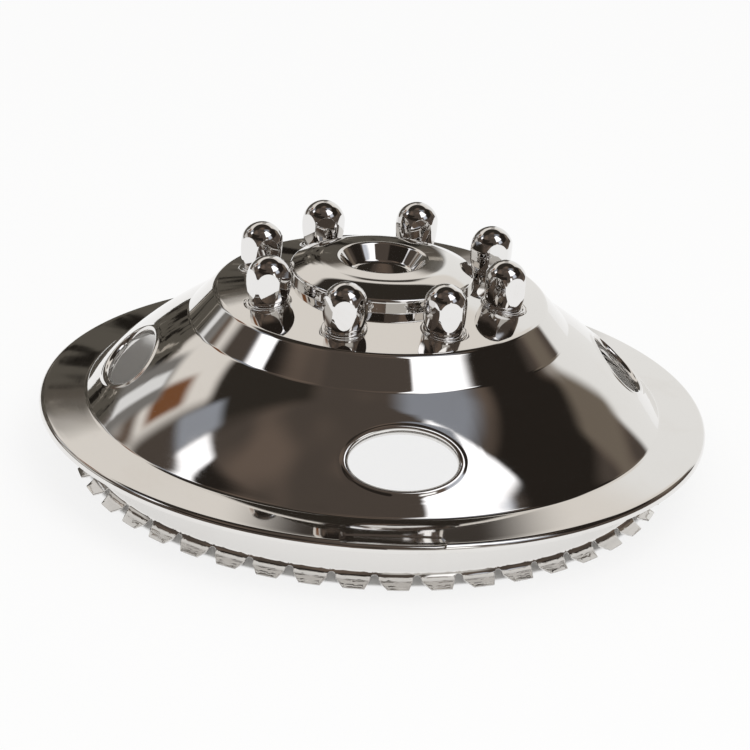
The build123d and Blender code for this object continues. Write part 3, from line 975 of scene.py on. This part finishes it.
class WHEEL_OT_stage(bpy.types.Operator):
    """Set up the floor, the studio's light and the camera."""

    bl_idname = "wheel.stage"
    bl_label = "Stage"

    def execute(self, context):
        self.lay_floor(context)
        self.light_studio(context)
        self.aim_camera(context)
        context.scene.view_settings.view_transform = "Standard"
        return {"FINISHED"}

    def lay_floor(self, context):
        """A pale floor that shows as the background, and can be looked through from below. Its glow is
        withheld in a ring under the teeth, a painted shade that is partly real: the floor's own shadow
        shows there only because the glow is taken away by place.
        """
        bm = bmesh.new()
        bmesh.ops.create_grid(bm, x_segments=1, y_segments=1, size=FLOOR_SIZE)
        mesh = as_mesh(bm, "floor")
        floor = bpy.data.objects.new("floor", mesh)
        context.scene.collection.objects.link(floor)
        material = bpy.data.materials.new("Pale floor")
        material.use_nodes = True
        nodes, links = material.node_tree.nodes, material.node_tree.links
        tint = context.scene.wheel_colours.floor
        shader = nodes["Principled BSDF"]
        feed(links, shader, **{"Base Color": (*tint, 1), "Roughness": 0.8, "Specular IOR Level": 0.0})
        glow = add(nodes, "ShaderNodeEmission")
        feed(links, glow, Color=(1, 1, 1, 1), Strength=1.0)
        seen = seen_rays(nodes, links)
        # Painted shade: the glow fades out in a ring of floor under the teeth, by distance from the middle,
        # so the floor shows darker there
        reach = add(nodes, "ShaderNodeVectorMath", operation="LENGTH")
        links.new(add(nodes, "ShaderNodeTexCoord").outputs["Object"], reach.inputs[0])
        tips = context.scene.wheel_ring_sizes.tip_radius
        edges = [
            ramp(nodes, links, reach.outputs["Value"], tips - dark, tips - bright, FLOOR_GLOW)
            for dark, bright in (SHADE_OUTSIDE, SHADE_INSIDE)
        ]
        share = calc(nodes, links, "MULTIPLY", seen, calc(nodes, links, "MAXIMUM", *edges))
        mixed = add(nodes, "ShaderNodeMixShader")
        feed(links, mixed, i0=share, i1=shader.outputs[0], i2=glow.outputs[0])
        below = add(nodes, "ShaderNodeNewGeometry").outputs["Backfacing"]
        top_only = add(nodes, "ShaderNodeMixShader")
        clear_side = add(nodes, "ShaderNodeBsdfTransparent")
        feed(links, top_only, i0=below, i1=mixed.outputs[0], i2=clear_side.outputs[0])
        links.new(top_only.outputs[0], nodes["Material Output"].inputs["Surface"])
        mesh.materials.append(material)

    def light_studio(self, context):
        """A dark room with soft panels that the metal mirrors, and a key light."""
        colours = context.scene.wheel_colours
        world = bpy.data.worlds.new("Studio")
        context.scene.world = world
        world.use_nodes = True
        nodes, links = world.node_tree.nodes, world.node_tree.links
        nodes.clear()
        measures = self.measure_room(nodes, links)

        def band(measure, low, high, soft):
            up = ramp(nodes, links, measures[measure], low - soft, low + soft)
            down = ramp(nodes, links, measures[measure], high + soft, high - soft)
            return calc(nodes, links, "MULTIPLY", up, down)

        room = None
        for shade, *bands in STUDIO:
            mask = band(*bands[0])
            for item in bands[1:]:
                mask = calc(nodes, links, "MULTIPLY", mask, band(*item))
            layer = add(nodes, "ShaderNodeMix", data_type="RGBA")
            feed(links, layer, i0=mask, i6=room or (*colours.room, 1), i7=(*shade, 1))
            room = layer.outputs[2]
        paths = add(nodes, "ShaderNodeLightPath")
        lit = add(nodes, "ShaderNodeMix", data_type="RGBA")
        feed(links, lit, i0=paths.outputs["Is Glossy Ray"], i6=(*AMBIENT, 1), i7=room)
        backdrop = add(nodes, "ShaderNodeMix", data_type="RGBA")
        shown = calc(
            nodes, links, "MAXIMUM", paths.outputs["Is Camera Ray"], paths.outputs["Is Transmission Ray"]
        )
        feed(links, backdrop, i0=shown, i6=lit.outputs[2], i7=(1, 1, 1, 1))
        sky = add(nodes, "ShaderNodeBackground")
        links.new(backdrop.outputs[2], sky.inputs["Color"])
        links.new(sky.outputs[0], add(nodes, "ShaderNodeOutputWorld").inputs["Surface"])

        lamp = bpy.data.lights.new("key", "AREA")
        lamp.energy = KEY_POWER
        lamp.size = KEY_SIZE
        key = bpy.data.objects.new("key", lamp)
        context.scene.collection.objects.link(key)
        key.location = KEY_PLACE
        key.rotation_euler = (-key.location).to_track_quat("-Z", "Y").to_euler()
        key.visible_glossy = False

    def measure_room(self, nodes, links):
        """Directions in the room in degrees, straight and rough, and a speckle from 0 to 1."""
        place = add(nodes, "ShaderNodeTexCoord").outputs["Generated"]
        split = add(nodes, "ShaderNodeSeparateXYZ")
        links.new(place, split.inputs[0])

        def math(operation, *values):
            return calc(nodes, links, operation, *values)

        def cloud(scale, detail):
            noise = add(nodes, "ShaderNodeTexNoise")
            feed(links, noise, Vector=place, Scale=scale, Detail=detail, Roughness=0.6)
            channels = add(nodes, "ShaderNodeSeparateXYZ")
            links.new(noise.outputs["Color"], channels.inputs[0])
            return channels.outputs

        azimuth = math("DEGREES", math("ARCTAN2", split.outputs[0], split.outputs[1]))
        elevation = math("DEGREES", math("ARCSINE", split.outputs[2]))
        wobble = cloud(7.0, 3.0)
        return {
            "azimuth": azimuth,
            "elevation": elevation,
            "slant": math("MULTIPLY_ADD", azimuth, BAND_SLANT, elevation),
            "rough_azimuth": math("ADD", azimuth, math("MULTIPLY_ADD", wobble[0], 22.0, -11.0)),
            "rough_elevation": math("ADD", elevation, math("MULTIPLY_ADD", wobble[1], 16.0, -8.0)),
            "speckle": cloud(13.0, 4.0)[2],
            "drift": cloud(2.4, 1.0)[0],
        }

    def aim_camera(self, context):
        """The photograph's standpoint, aimed at the cover."""
        s = context.scene.wheel_camera
        camera = bpy.data.cameras.new("camera")
        camera.lens = s.lens * 1000
        camera.sensor_width = 36
        camera.clip_start = 0.02
        eye = bpy.data.objects.new("camera", camera)
        context.scene.collection.objects.link(eye)
        eye.location = STANDPOINT
        aimed = (Vector(AIM) - eye.location).to_track_quat("-Z", "Y").to_matrix()
        eye.rotation_euler = (aimed @ Matrix.Rotation(s.roll, 3, "Z")).to_euler()
        context.scene.camera = eye


def seen_rays(nodes, links):
    """A mask of the rays that show a background: camera, glossy and transmission."""
    paths = add(nodes, "ShaderNodeLightPath")
    total = calc(nodes, links, "ADD", paths.outputs["Is Camera Ray"], paths.outputs["Is Glossy Ray"])
    return calc(nodes, links, "ADD", total, paths.outputs["Is Transmission Ray"], use_clamp=True)


class WHEEL_PT_looks(bpy.types.Panel):
    """Lists the steps that build the wheel simulator's looks."""

    bl_idname = "WHEEL_PT_looks"
    bl_label = "Wheel simulator"
    bl_space_type = "VIEW_3D"
    bl_region_type = "UI"
    bl_category = "Wheel"

    def draw(self, context):
        for operator in OPERATORS:
            self.layout.operator(operator.bl_idname)
        for name, group in GROUPS.items():
            box = self.layout.box()
            box.label(text=group.__doc__)
            for key in group.__annotations__:
                box.prop(getattr(context.scene, name), key)


OPERATORS = (WHEEL_OT_cover, WHEEL_OT_lug_covers, WHEEL_OT_spring_ring, WHEEL_OT_stage)


def register():
    """Add the classes and the scene's settings."""
    for item in (*GROUPS.values(), *OPERATORS, WHEEL_PT_looks):
        bpy.utils.register_class(item)
    for name, group in GROUPS.items():
        setattr(bpy.types.Scene, name, PointerProperty(type=group))


def unregister():
    """Remove the scene's settings and the classes."""
    for name in GROUPS:
        delattr(bpy.types.Scene, name)
    for item in (WHEEL_PT_looks, *reversed(OPERATORS), *GROUPS.values()):
        bpy.utils.unregister_class(item)


def main():
    register()
    bpy.ops.wheel.cover()
    bpy.ops.wheel.lug_covers()
    bpy.ops.wheel.spring_ring()
    bpy.ops.wheel.stage()


if __name__ == "__main__":
    main()
